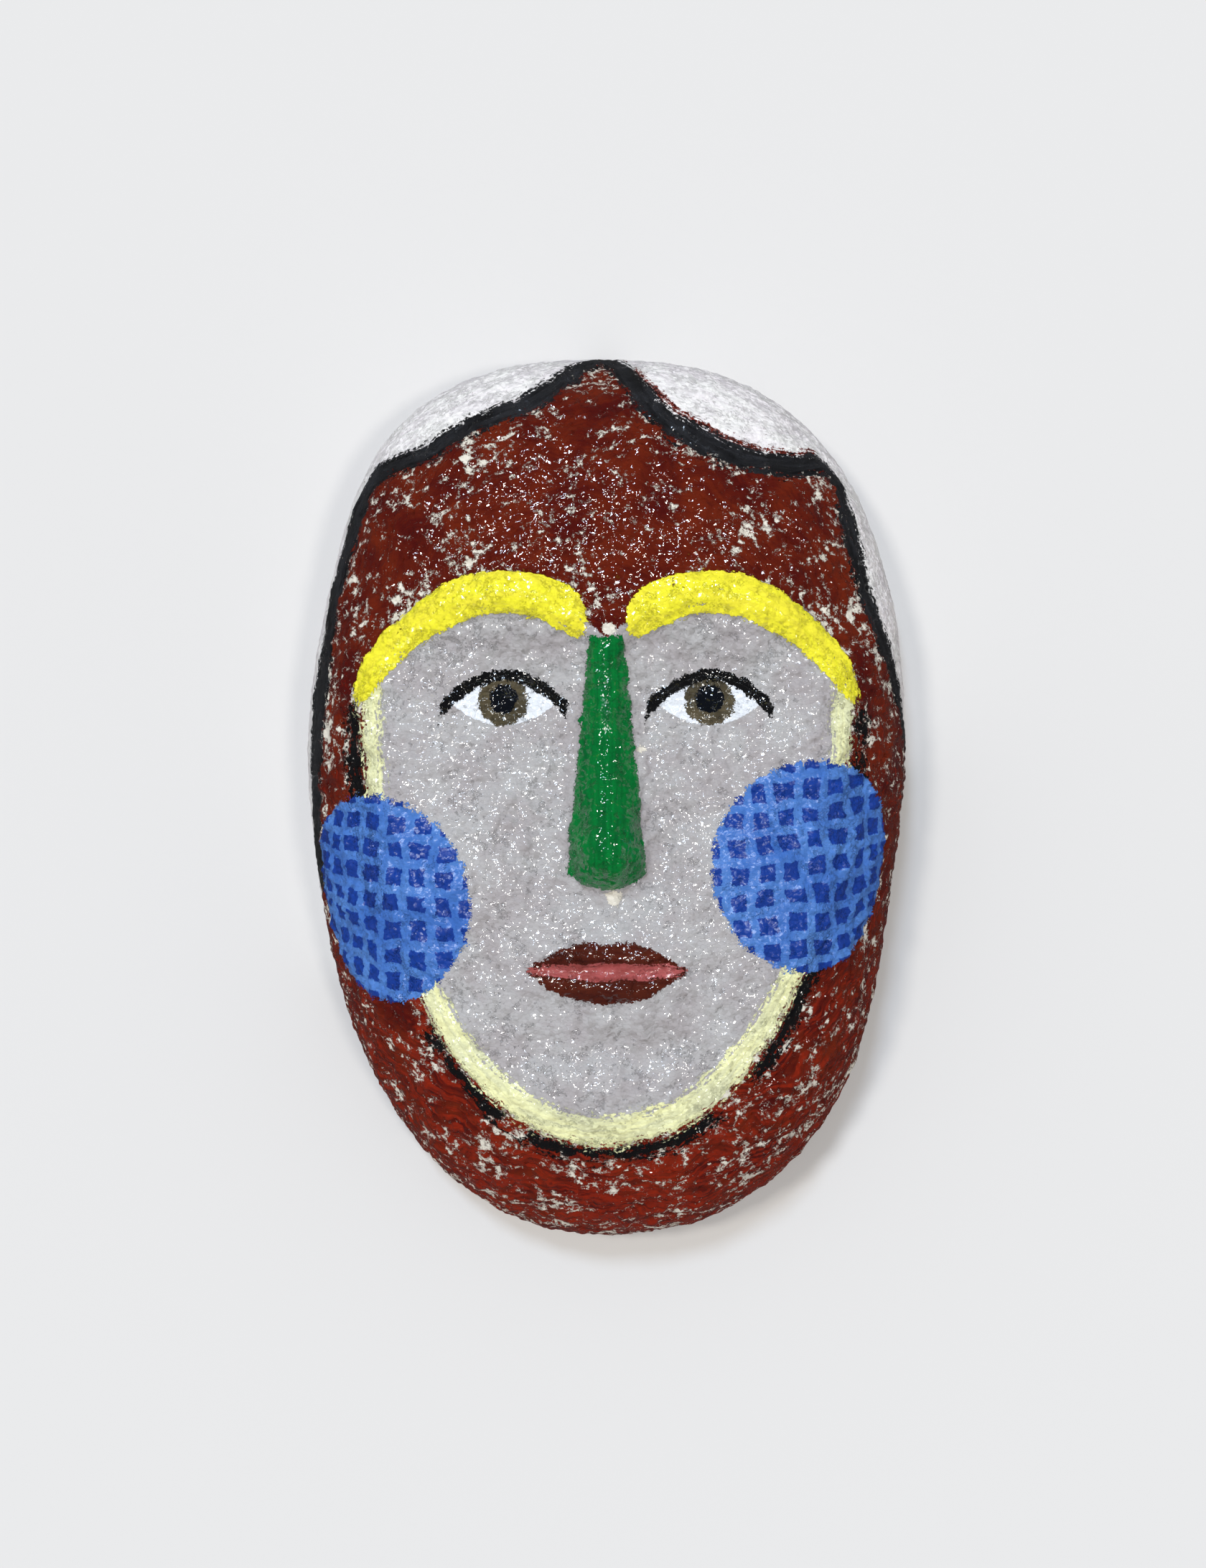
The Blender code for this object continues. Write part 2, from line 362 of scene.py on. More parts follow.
class MaskStage(bpy.types.PropertyGroup):
    """The table, the lights and the camera."""

    floor: colour_property("Table", "The pale table", 223, 221, 220)
    camera_height: number_property("Camera height", "Above the table", 0.85, 0.3, 3, unit="LENGTH")
    lens: number_property("Lens", "Focal length in mm", 57.7, 20, 200)
    floor_glow: number_property("Table glow", "Its share that no shadow darkens", 0.1, 0, 1, subtype="FACTOR")
    upper_light: number_property("Upper light", "The bluish light from above the crown", 1.15, 0, 10)
    side_light: number_property("Side lights", "The lights from the left and the right", 0.92, 0, 10)
    sky: number_property("Sky", "Strength of the even light", 0.46, 0, 10)
    sky_reflected: number_property("Reflected sky", "The same in reflections", 0.06, 0, 10)


def humps(x, y, table):
    """The smooth rounded humps and hollows of one table, added up."""
    relief = np.zeros_like(x)
    for _, rise, eyes_across, up, eyes_wide, thirds_high in table:
        across = (np.abs(x) / EYE_X - eyes_across) / eyes_wide
        along = (y - up) / THIRD / thirds_high
        relief += rise * np.exp(-(across**2) - along**2)
    return relief


def ramp(distance, turn):
    """From 0 to 1 as the distance goes from below zero to above it, within a few turns."""
    return 1 / (1 + np.exp(-distance / turn))


def near(distance, reach, size=1):
    """The whole size at no distance, and almost nothing at twice the reach."""
    return size * np.exp(-((distance / reach) ** 2))


def brow_ridge(x):
    """The height of the brow's ridge at a distance from the midline."""
    return BROW_TOP_Y - BROW_FALL * ((np.abs(x) - EYE_X) / EYE_X) ** 2


def brow_relief(x, y):
    """Two arched ridges over the eyes."""
    along = np.exp(-(((np.abs(x) - EYE_X) / BROW_HALF_LENGTH) ** 4))
    return BROW_RISE * along * near(y - brow_ridge(x), BROW_HALF_WIDTH)


def nose_half(y):
    """Half the nose's width at a height on the face."""
    down = np.clip((NOSE_TOP_Y - y) / (NOSE_TOP_Y - NOSE_BASE_Y), 0, 1)
    return NOSE_TOP_HALF + (NOSE_END_HALF - NOSE_TOP_HALF) * down


def nose_end(x):
    """The lower edge of the nose: its sides turn under before its middle does."""
    return NOSE_BASE_Y + NOSE_END_LIFT * np.clip(np.abs(x) / NOSE_END_HALF, 0, 1.5) ** 2


def nose_relief(x, y):
    """A wedge that widens and rises from between the brows to a rounded end above the lip."""
    down = np.clip((NOSE_TOP_Y - y) / (NOSE_TOP_Y - NOSE_BASE_Y), 0, 1)
    rise = NOSE_TOP_RISE + (NOSE_END_RISE - NOSE_TOP_RISE) * down
    rise = rise + NOSE_BULB_RISE * np.exp(-(((y - NOSE_BASE_Y) / NOSE_END_HALF - 1) ** 2))
    section = np.exp(-((np.abs(x) / nose_half(y)) ** NOSE_SQUARENESS))
    return rise * section * ramp(NOSE_TOP_Y - y, 2 * NOSE_TURN) * ramp(y - nose_end(x), NOSE_TURN)


def unevenness(x, y):
    """Low, broad swells, as a hand leaves them."""
    across = 2 * np.pi * x
    along = 2 * np.pi * y
    slant = np.sin(across / SLANT_ACROSS + along / SLANT_ALONG)
    return UNEVENNESS * (np.sin(across / WAVE_ACROSS + 1) * np.sin(along / WAVE_ALONG) + slant / 2)


def hollow_relief(x, y):
    """What the mould and the hand gave the shell, inside and out."""
    return humps(x, y, MOULDED) + unevenness(x, y)


def outer_relief(x, y):
    """The same with what was built up on the outside."""
    return hollow_relief(x, y) + humps(x, y, BUILT_UP) + brow_relief(x, y) + nose_relief(x, y)


def hand_drawn_radius(angle):
    """How far the outline is from the point on its widest line, before it is fitted to its size."""
    up = np.sin(angle) >= 0
    half_height = np.where(up, MASK_HEIGHT / 2 - WIDEST_Y, MASK_HEIGHT / 2 + WIDEST_Y)
    power = np.where(up, CROWN_SQUARENESS, CHIN_SQUARENESS)
    across = np.abs(np.cos(angle)) / (MASK_WIDTH / 2)
    along = np.abs(np.sin(angle)) / half_height
    radius = (across**power + along**power) ** (-1 / power)
    for direction, size in SWELLS:
        away = (np.degrees(angle) - direction + 180) % 360 - 180
        nearness = np.clip(1 - np.abs(away) / SWELL_REACH, 0, 1)
        radius += size * np.sin(nearness * np.pi / 2) ** 2
    return radius


def outline_box():
    """The middle of the hand-drawn outline, and what brings it to the mask's width and height."""
    angle = np.linspace(-np.pi, np.pi, OUTLINE_SAMPLES)
    radius = hand_drawn_radius(angle)
    x = radius * np.cos(angle)
    y = radius * np.sin(angle)
    middle = np.array(((x.max() + x.min()) / 2, (y.max() + y.min()) / 2))
    return middle, np.array((MASK_WIDTH / np.ptp(x), MASK_HEIGHT / np.ptp(y)))


def section_table(depth):
    """The section's stations: share of the way to the rim, share of the radius, share of the depth."""
    turn = np.linspace(0, np.pi / 2, SECTION_SAMPLES)
    height = np.abs(np.cos(turn)) ** (2 / SIDE_ROUNDNESS)
    height[-1] = 0
    reach = np.sin(turn) ** (2 / FRONT_FLATNESS)
    reach *= 1 - RIM_CURL * np.clip(1 - height / CURL_FROM, 0, 1) ** 2
    reach /= reach.max()
    steps = np.hypot(np.diff(reach) * (MASK_WIDTH + MASK_HEIGHT) / 4, np.diff(height) * depth)
    travelled = np.concatenate([[0], np.cumsum(steps)])
    return travelled / travelled[-1], reach, height


def disc_places(u, v):
    """(angle, share of the way to the rim) of places on the square from -1 to 1."""
    across = u * np.sqrt(1 - v**2 / 2)
    along = v * np.sqrt(1 - u**2 / 2)
    return np.arctan2(along, across), np.clip(np.hypot(across, along), 0, 1)


def shell_places(angle, share, depth, inset, relief):
    """The places of the shell in millimetres, inset from its outside by a wall."""
    travelled, reach_at, height_at = section_table(depth)
    reach = np.interp(share, travelled, reach_at)
    height = np.interp(share, travelled, height_at)
    middle, size = outline_box()
    radius = reach * (hand_drawn_radius(angle) - inset)
    x = (radius * np.cos(angle) - middle[0]) * size[0]
    y = (radius * np.sin(angle) - middle[1]) * size[1]
    fade = np.clip(height / RELIEF_FROM, 0, 1)
    fade = fade**2 * (3 - 2 * fade)
    z = height * (depth - inset) + fade * relief(x, y)
    return np.stack([x, y, z], axis=-1)


def laid_flat(angle, share, depth):
    """The smooth dome laid out flat, each place as far out as the surface is long, and those lengths."""
    travelled, reach_at, height_at = section_table(depth)
    radius = hand_drawn_radius(angle)
    radii = np.linspace(radius.min() - 1, radius.max() + 1, RADIUS_SAMPLES)
    steps = np.hypot(np.diff(reach_at) * radii[:, None], np.diff(height_at) * depth)
    lengths = np.concatenate([np.zeros((len(radii), 1)), np.cumsum(steps, axis=1)], axis=1)
    row = (radius - radii[0]) / (radii[1] - radii[0])
    column = np.interp(share, travelled, np.arange(SECTION_SAMPLES))
    low_row = np.clip(row.astype(int), 0, len(radii) - 2)
    low_column = np.clip(column.astype(int), 0, SECTION_SAMPLES - 2)
    row_part = row - low_row
    column_part = column - low_column
    length = 0
    for right, column_share in ((0, 1 - column_part), (1, column_part)):
        for up, row_share in ((0, 1 - row_part), (1, row_part)):
            length += lengths[low_row + up, low_column + right] * row_share * column_share
    return np.stack([length * np.cos(angle), length * np.sin(angle)], axis=-1), length


def laid_out(angle, share, depth):
    """The places on the dome laid out flat, and how far each is from the rim."""
    flat, length = laid_flat(angle, share, depth)
    _, full_length = laid_flat(angle, np.ones(len(angle)), depth)
    return flat, full_length - length


def flat_point(point, depth):
    """Where a place seen from the front is on the dome laid out flat."""
    middle, size = outline_box()
    offset = np.array(point) / size + middle
    angle = np.arctan2(offset[1], offset[0])
    travelled, reach_at, _ = section_table(depth)
    front = reach_at.argmax()
    reach = min(np.hypot(*offset) / hand_drawn_radius(angle), 1)
    share = np.interp(reach, reach_at[: front + 1], travelled[: front + 1])
    flat, _ = laid_flat(np.array([angle]), np.array([share]), depth)
    return flat[0]


def smooth_line(points):
    """A line through the points that turns smoothly at each of them."""
    points = np.array(points, float)
    ends = np.concatenate([[2 * points[0] - points[1]], points, [2 * points[-1] - points[-2]]])
    line = []
    for before, start, end, after in zip(ends, ends[1:], ends[2:], ends[3:]):
        for part in np.arange(LINE_SPAN_STEPS) / LINE_SPAN_STEPS:
            bend = (2 * before - 5 * start + 4 * end - after) * part**2
            turn = (3 * start - before - 3 * end + after) * part**3
            line.append(start + ((end - before) * part + bend + turn) / 2)
    return np.array([*line, points[-1]])


def beside(places, line):
    """The distance of each place from the line, below zero on the line's right."""
    nearest = np.full(len(places), np.inf)
    side = np.ones(len(places))
    for start, end in zip(line, line[1:]):
        run = end - start
        offset = places - start
        part = np.clip(offset @ run / (run @ run), 0, 1)
        distance = np.linalg.norm(offset - part[:, None] * run, axis=1)
        closer = distance < nearest
        nearest[closer] = distance[closer]
        turn = run[0] * offset[:, 1] - run[1] * offset[:, 0]
        side[closer] = np.sign(turn[closer])
    return nearest * side


def hood_line(points, depth):
    """One black line on the dome laid out flat, run on over both edges to the rim."""
    line = smooth_line([flat_point(point, depth) for point in points])
    start = line[0] + np.array((0, RUN_ON))
    run = line[-1] - line[-1 - LINE_SPAN_STEPS]
    end = line[-1] + run / np.linalg.norm(run) * RUN_ON
    return np.concatenate([[start], line, [end]])


def arc_inside(x, y, half, upper, lower):
    """The distance inside an almond shape, about its middle."""
    open_share = 1 - (x / half) ** 2
    slope = np.hypot(1, 2 * upper * x / half**2)
    return np.minimum(upper * open_share - y, y + lower * open_share) / slope


def oval_outside(x, y):
    """The distance outside the face's oval edge."""
    across = np.abs(x) / OVAL_HALF
    along = np.abs(OVAL_TOP_Y - y) / (OVAL_TOP_Y - CHIN_Y - BAND_HALF)
    power = OVAL_SQUARENESS
    level = (across**power + along**power) ** (1 / power)
    reach = np.hypot(x, y - OVAL_TOP_Y)
    return reach * (1 - 1 / np.maximum(level, 0.05))


def paint_zones(x, y, left, right):
    """How far inside each painted zone every place is, in millimetres, below zero outside it."""
    zones = {"white": np.where(x < 0, -left, right)}
    on_left_side = np.clip((-x - LEFT_SIDE_FROM) / LEFT_SIDE_OVER, 0, 1)
    line_half = HOOD_LINE_HALF + (LEFT_SIDE_HALF - HOOD_LINE_HALF) * on_left_side
    zones["hood_line"] = line_half - np.minimum(np.abs(left), np.abs(right))
    off_smear = np.abs(right - HOOD_LINE_HALF)
    zones["smear"] = np.minimum(SMEAR_HALF - off_smear, SMEAR_REACH - np.abs(x - SMEAR_X))

    ridge_slope = np.hypot(1, 2 * BROW_FALL * (np.abs(x) - EYE_X) / EYE_X**2)
    above_brow = (y - brow_ridge(x)) / ridge_slope
    outside = oval_outside(x, y)
    zones["face"] = np.minimum(-above_brow, -outside)
    band_half = BAND_HALF * (1 - BAND_TAPER * np.clip((y - CHIN_Y) / THIRD - 0.3, 0, 1))
    zones["band"] = np.minimum(band_half - np.abs(outside), -above_brow)
    off_outline = np.abs(outside - band_half - OUTLINE_HALF)
    zones["outline"] = np.minimum(OUTLINE_HALF - off_outline, -above_brow - OUTLINE_BELOW_BROW)
    brow_half = BROW_PAINT_HALF - BROW_TAPER * np.clip(np.abs(x) / OVAL_HALF - 0.6, 0, 1)
    past_inner = BROW_INNER_X + brow_half - np.abs(x)
    past_end = np.maximum(past_inner, np.abs(x) + brow_half - OVAL_HALF - BAND_HALF)
    zones["brow"] = brow_half - np.hypot(np.maximum(past_end, 0), above_brow)

    eye_x = np.abs(x) - EYE_X
    eye_y = y - EYE_Y
    zones["eye"] = arc_inside(eye_x, eye_y, EYE_HALF, EYE_UPPER, EYE_LOWER)
    zones["iris"] = np.minimum(IRIS_RADIUS - np.hypot(eye_x, eye_y - IRIS_LIFT), zones["eye"] + 1)
    zones["pupil"] = PUPIL_RADIUS - np.hypot(eye_x, eye_y - PUPIL_LIFT)
    lash_half = EYE_HALF + LASH_OVERHANG
    above_lash = eye_y - EYE_UPPER * (1 - (eye_x / EYE_HALF) ** 2)
    lash_slope = np.hypot(1, 2 * EYE_UPPER * eye_x / EYE_HALF**2)
    zones["lash"] = np.minimum(LASH_HALF - np.abs(above_lash) / lash_slope, lash_half - np.abs(eye_x))

    bow = near(x, BOW_REACH, BOW_DEPTH)
    zones["lips"] = arc_inside(x, y - MOUTH_Y + bow * (y > MOUTH_Y), LIPS_HALF, LIPS_UPPER, LIPS_LOWER)
    parting_half = PARTING_HALF * np.sqrt(np.clip(1 - (x / LIPS_HALF) ** 2, 0, 1)) + PARTING_END_HALF
    zones["parting"] = np.minimum(parting_half - np.abs(y - MOUTH_Y), LIPS_HALF - np.abs(x))

    nose_side = NOSE_PAINT_WIDER * nose_half(y) - np.abs(x)
    above_end = y - nose_end(x) + NOSE_PAINT_PAST
    zones["nose"] = np.minimum(np.minimum(nose_side, above_end), NOSE_TOP_Y - 1 - y)
    bare = [radius - np.hypot(x - across, y - up) for across, up, radius in BARE_PLACES]
    zones["bare"] = np.max(bare, axis=0)
    return zones


def disc_zone(flat, depth):
    """How far inside the nearer cheek disc each place is, and where it is on that disc's grid."""
    inside = np.full(len(flat), -np.inf)
    grid = np.zeros((len(flat), 3))
    for middle, tilt in DISCS:
        offset = flat - flat_point(middle, depth)
        turn = np.radians(tilt)
        turned = offset @ ((np.cos(turn), -np.sin(turn)), (np.sin(turn), np.cos(turn)))
        distance = DISC_RADIUS - np.linalg.norm(offset, axis=1)
        nearer = distance > inside
        inside[nearer] = distance[nearer]
        grid[nearer, :2] = turned[nearer]
    return inside, grid


def round_strokes(places, middle, radius):
    """Coordinates for brush marks that run in rings round a middle: two along the ring, one across it."""
    offset = places - middle
    across = np.linalg.norm(offset, axis=1)
    along = offset / np.maximum(across, 0.001)[:, None] * radius
    return np.column_stack([along, across])


def lumps(places, size):
    """Soft noise from -1 to 1 with waves about that size."""
    return np.array([noise.noise(Vector(place)) for place in places / size])


def crowded(places):
    """Grid lines drawn together towards the middle of the face, where the features are finest."""
    return places * (1 - CENTRE_CROWDING * (1 - places**2))


def grid_places(mesh, columns, rows):
    """Adds a flat grid to the mesh and returns its vertices and their places on the square."""
    made = bmesh.ops.create_grid(mesh, x_segments=columns, y_segments=rows, size=1)["verts"]
    return made, np.array([vert.co[:2] for vert in made])


def surface_height(places, zones, form):
    """How far the pulp stands out of the smooth shell, in millimetres, and the same with the paint."""
    coarse, middling, fine = (
        lumps(places + shift, width * form.lump_size) for shift, width in zip(LUMP_SHIFTS, LUMP_WIDTHS)
    )
    heights = np.stack([coarse, np.abs(middling), np.abs(fine)], axis=-1)
    pulp = form.lump_height * (heights @ LUMP_HEIGHTS - LUMPS_SUNK)
    ridges = np.abs(lumps(places * (0.8, 1.2, 1), RIDGE_WIDTH))
    thick = ramp(np.maximum(zones["brow"], zones["nose"]), PAINT_EDGE)
    thin_zones = [zones["disc"], zones["lash"], zones["lips"], zones["eye"]]
    thin = ramp(np.maximum.reduce(thin_zones), PAINT_EDGE)
    paint = form.paint_height * (thick * (THICK_PAINT + RIDGES * ridges) + THIN_PAINT * thin)
    filled = np.maximum(THICK_FILLS * thick, WHITE_FILLS * ramp(zones["white"], WHITE_EDGE))
    return pulp, paint + pulp * (1 - filled)


def set_attribute(data, name, values):
    """Stores one value or one vector for each vertex."""
    kind, field = ("FLOAT", "value") if values.ndim == 1 else ("FLOAT_VECTOR", "vector")
    made = data.attributes.new(name, kind, "POINT")
    made.data.foreach_set(field, values.astype(np.float32).ravel())


def form_mask(form):
    """The whole mask as one closed mesh, with the paint's layout stored on its vertices."""
    mesh = bmesh.new()
    outer, outer_square = grid_places(mesh, COLUMNS, ROWS)
    hollow, hollow_square = grid_places(mesh, HOLLOW_COLUMNS, HOLLOW_ROWS)
    depth = form.dome_depth
    angle, share = disc_places(*crowded(outer_square).T)
    places = shell_places(angle, share, depth, 0, outer_relief)
    flat, from_rim = laid_out(angle, share, depth)
    hollow_angle, hollow_share = disc_places(*hollow_square.T)
    hollow_places = shell_places(hollow_angle, hollow_share, depth, form.wall, hollow_relief)
    _, hollow_from_rim = laid_out(hollow_angle, hollow_share, depth)
    all_places = np.concatenate([places, hollow_places])
    for vert, place in zip(outer + hollow, all_places * MM):
        vert.co = place
    mesh.verts.index_update()
    hollow_faces = {face for vert in hollow for face in vert.link_faces}
    bmesh.ops.reverse_faces(mesh, faces=list(hollow_faces))
    bmesh.ops.bridge_loops(mesh, edges=[edge for edge in mesh.edges if edge.is_boundary])
    bmesh.ops.recalc_face_normals(mesh, faces=mesh.faces)
    data = bpy.data.meshes.new("painted_mask")
    mesh.to_mesh(data)
    mesh.free()

    left = beside(flat, hood_line(LEFT_LINE, depth))
    right = beside(flat, hood_line(RIGHT_LINE, depth))
    zones = paint_zones(places[:, 0], places[:, 1], left, right)
    zones["disc"], grid = disc_zone(flat, depth)
    pulp, height = surface_height(places, zones, form)
    hollow_pulp = form.lump_height * (0.8 * np.abs(lumps(hollow_places, 2 * form.lump_size)) - 0.2)
    height *= SIDE_LUMPS + (1 - SIDE_LUMPS) * np.clip(from_rim / SMOOTH_REACH, 0, 1)
    all_height = np.concatenate([height, hollow_pulp])
    all_from_rim = np.concatenate([from_rim, hollow_from_rim])
    all_height *= np.clip(all_from_rim / RIM_FADE, 0, 1)
    normals = np.array([normal.vector for normal in data.vertex_normals])
    moved = all_places + normals * all_height[:, None]
    moved[:, 2] = np.where(all_from_rim < ON_RIM, 0, np.maximum(moved[:, 2], 0))
    data.vertices.foreach_set("co", (moved * MM).astype(np.float32).ravel())
    data.update()

    nowhere = np.full(len(hollow), NOWHERE)
    for name, inside in zones.items():
        set_attribute(data, name, np.concatenate([inside, nowhere]))
    set_attribute(data, "within", np.concatenate([-from_rim, hollow_from_rim + form.wall]))
    set_attribute(data, "lump", np.concatenate([pulp, hollow_pulp]) / form.lump_height)
    set_attribute(data, "wear", np.concatenate([hood_wear(places, zones, from_rim), nowhere * 0]))
    set_attribute(data, "place", all_places)
    half_face = np.column_stack([np.abs(flat[:, 0]), flat[:, 1]])
    off_line = np.where(np.abs(left) < np.abs(right), left, right)
    strokes = {
        "grid": grid,
        "stroke": round_strokes(flat, flat_point(HOOD_RINGS, depth), HOOD_RING_RADIUS),
        "brow_stroke": round_strokes(half_face, flat_point(BROW_RINGS, depth), BROW_RING_RADIUS),
        "line_stroke": np.column_stack([flat, off_line]),
        "oval_stroke": np.column_stack([flat, oval_outside(places[:, 0], places[:, 1])]),
    }
    for name, along in strokes.items():
        set_attribute(data, name, np.concatenate([along, np.zeros((len(hollow), 3))]))
    lay_out_bake_map(data, outer_square, hollow_square, np.concatenate([angle, hollow_angle]))
    return data


def hood_wear(places, zones, from_rim):
    """How much primer shows: most along the hood's lines, above the brows and towards the rim."""
    off_brow = np.maximum(-zones["brow"], 0)
    left, right = near(off_brow, *LEFT_BROW_WEAR), near(off_brow, *RIGHT_BROW_WEAR)
    wear = WEAR_EVERYWHERE + near(np.maximum(-zones["hood_line"], 0), *LINE_WEAR)
    wear += np.where(places[:, 0] < 0, left, right)
    wear += near(zones["outline"], *OUTLINE_WEAR) + near(from_rim, *RIM_WEAR)
    top, reach, share = CHIN_WEAR
    wear += share * np.clip((top - places[:, 1]) / reach, 0, 1)
    return np.clip(wear, 0, 1)


def lay_out_bake_map(data, outer_square, hollow_square, angle):
    """A map of the surface without overlaps, with the painted side above the rim and the hollow."""
    grids = ((outer_square, *PAINTED_MAP), (hollow_square, *HOLLOW_MAP))
    spots = np.concatenate([square * half + middle for square, half, middle in grids])
    layer = data.uv_layers.new(name="OFBake")
    for face in data.polygons:
        corners = np.array(face.vertices)
        inner = corners >= len(outer_square)
        places = spots[corners]
        if inner.any() and not inner.all():
            around = angle[corners]
            around = np.where(around < around.max() - np.pi, around + 2 * np.pi, around)
            along = STRIP_LEFT + STRIP_LENGTH * (around / np.pi + 1) / (2 * SEAM_ROOM)
            places = np.column_stack([along, STRIP_LOW + STRIP_HEIGHT * inner])
        for loop, place in zip(face.loop_indices, places):
            layer.uv[loop].vector = place


class NodeBench:
    """Adds nodes to one node tree and joins them."""

    def __init__(self, tree):
        self.tree = tree

    def join(self, socket, value):
        if isinstance(value, bpy.types.NodeSocket):
            self.tree.links.new(value, socket)
        else:
            socket.default_value = value

    def add(self, kind, settings=None, inputs=None):
        node = self.tree.nodes.new("ShaderNode" + kind)
        for name, value in (settings or {}).items():
            setattr(node, name, value)
        for name, value in (inputs or {}).items():
            self.join(node.inputs[name], value)
        return node

    def math(self, operation, *values):
        return self.add("Math", {"operation": operation}, dict(enumerate(values))).outputs[0]

    def vector_math(self, operation, *values):
        node = self.add("VectorMath", {"operation": operation}, dict(enumerate(values)))
        return node.outputs["Value" if operation == "DOT_PRODUCT" else "Vector"]

    def stretch(self, vector, factors):
        return self.vector_math("MULTIPLY", vector, factors)

    def noise(self, vector, scale, detail=2.0, roughness=0.5):
        """Noise in millimetres: the scale is in waves for each of them."""
        inputs = {"Vector": vector, "Scale": scale, "Detail": detail, "Roughness": roughness}
        return self.add("TexNoise", None, inputs).outputs[0]

    def between(self, value, low, high):
        """0 below low, 1 above high, and a smooth step between them."""
        inputs = {"Value": value, "From Min": low, "From Max": high}
        return self.add("MapRange", {"interpolation_type": "SMOOTHSTEP"}, inputs).outputs[0]

    def blend(self, share, under, over):
        return self.add("Mix", {"data_type": "RGBA"}, {0: share, 6: under, 7: over}).outputs[2]

    def blend_value(self, share, under, over):
        return self.add("Mix", {"data_type": "FLOAT"}, {0: share, 2: under, 3: over}).outputs[0]

    def value(self, name):
        return self.add("Attribute", {"attribute_name": name}).outputs["Fac"]

    def vector(self, name):
        return self.add("Attribute", {"attribute_name": name}).outputs["Vector"]

    def effect(self, group, **inputs):
        node = self.tree.nodes.new("ShaderNodeGroup")
        node.node_tree = group
        for name, value in inputs.items():
            self.join(node.inputs[name], value)
        return node.outputs[0]


# What the sockets of the effects carry; those that aren't named here carry a number
SOCKET_KINDS = {
    "Place": "Vector", "Stroke": "Vector", "First": "Color", "Second": "Color", "Colour": "Color"
}


def effect_group(name, output, *inputs):
    """An empty node group with named inputs and one output, and the bench to fill it."""
    group = bpy.data.node_groups.new(name, "ShaderNodeTree")
    for title in (*inputs, output):
        way = "OUTPUT" if title == output else "INPUT"
        kind = "NodeSocket" + SOCKET_KINDS.get(title, "Float")
        group.interface.new_socket(name=title, in_out=way, socket_type=kind)
    bench = NodeBench(group)
    given = group.nodes.new("NodeGroupInput").outputs
    result = group.nodes.new("NodeGroupOutput").inputs[0]
    return group, bench, given, result


def ragged_edge_group():
    """The edge of thick paint on rough pulp: it wanders by a few lumps."""
    group, bench, given, result = effect_group(
        "ragged edge", "Mask", "Place", "Distance", "Raggedness", "Softness"
    )
    coarse = bench.math("SUBTRACT", bench.noise(given["Place"], 0.45, 2), 0.5)
    fine = bench.math("SUBTRACT", bench.noise(given["Place"], 1.6, 3, 0.65), 0.5)
    wander = bench.math("ADD", bench.math("MULTIPLY", coarse, 3.0), bench.math("MULTIPLY", fine, 3.2))
    moved = bench.math("MULTIPLY_ADD", wander, given["Raggedness"], given["Distance"])
    low = bench.math("MULTIPLY", given["Softness"], -1.0)
    bench.join(result, bench.between(moved, low, given["Softness"]))
    return group


def dry_brush_group():
    """A coat from a nearly dry brush: full in the middle of the stroke, broken into hairs at its edges."""
    group, bench, given, result = effect_group(
        "dry brush", "Mask", "Place", "Stroke", "Distance", "Feather", "Fullness"
    )
    grain = bench.noise(given["Place"], 0.8, 5, 0.7)
    hairs = bench.noise(bench.stretch(given["Stroke"], (0.12, 0.12, 1.2)), 1.0, 2)
    rough = bench.math("ADD", bench.math("MULTIPLY", grain, 0.6), bench.math("MULTIPLY", hairs, 0.4))
    rough = bench.math("MULTIPLY_ADD", rough, 2.8, -0.9)
    load = bench.between(bench.noise(given["Place"], 0.06, 2), 0.36, 0.58)
    level = bench.math("ADD", bench.math("DIVIDE", given["Distance"], given["Feather"]), 0.5)
    level = bench.math("MINIMUM", level, bench.blend_value(load, given["Fullness"], 1.0))
    bench.join(result, bench.between(bench.math("SUBTRACT", level, rough), -0.05, 0.08))
    return group


def bare_flecks_group():
    """Ragged flecks where the brush missed the primer, in loose clusters along the strokes."""
    group, bench, given, result = effect_group("bare flecks", "Mask", "Place", "Stroke", "Lump", "Wear")
    patches = bench.noise(given["Place"], 0.31, 7, 0.8)
    cluster = bench.noise(given["Place"], 0.08, 2)
    streaks = bench.noise(bench.stretch(given["Stroke"], (0.12, 0.12, 0.5)), 1.0, 3)
    level = bench.math("MULTIPLY_ADD", patches, 0.66, bench.math("MULTIPLY", cluster, 0.24))
    level = bench.math("MULTIPLY_ADD", streaks, 0.16, level)
    level = bench.math("MULTIPLY_ADD", given["Lump"], -0.05, level)
    level = bench.math("MULTIPLY_ADD", given["Wear"], 0.085, level)
    bench.join(result, bench.between(level, 0.608, 0.646))
    return group


def two_tones_group():
    """One paint in two tones, drifting in patches and in the streaks of the brush."""
    group, bench, given, result = effect_group(
        "two tones", "Colour", "Place", "Stroke", "First", "Second", "Streaks"
    )
    drift = bench.noise(given["Place"], 0.07, 3, 0.6)
    streaks = bench.noise(bench.stretch(given["Stroke"], (0.05, 0.05, 0.75)), 1.0, 3, 0.6)
    share = bench.blend_value(given["Streaks"], drift, streaks)
    bench.join(result, bench.blend(bench.between(share, 0.36, 0.64), given["First"], given["Second"]))
    return group


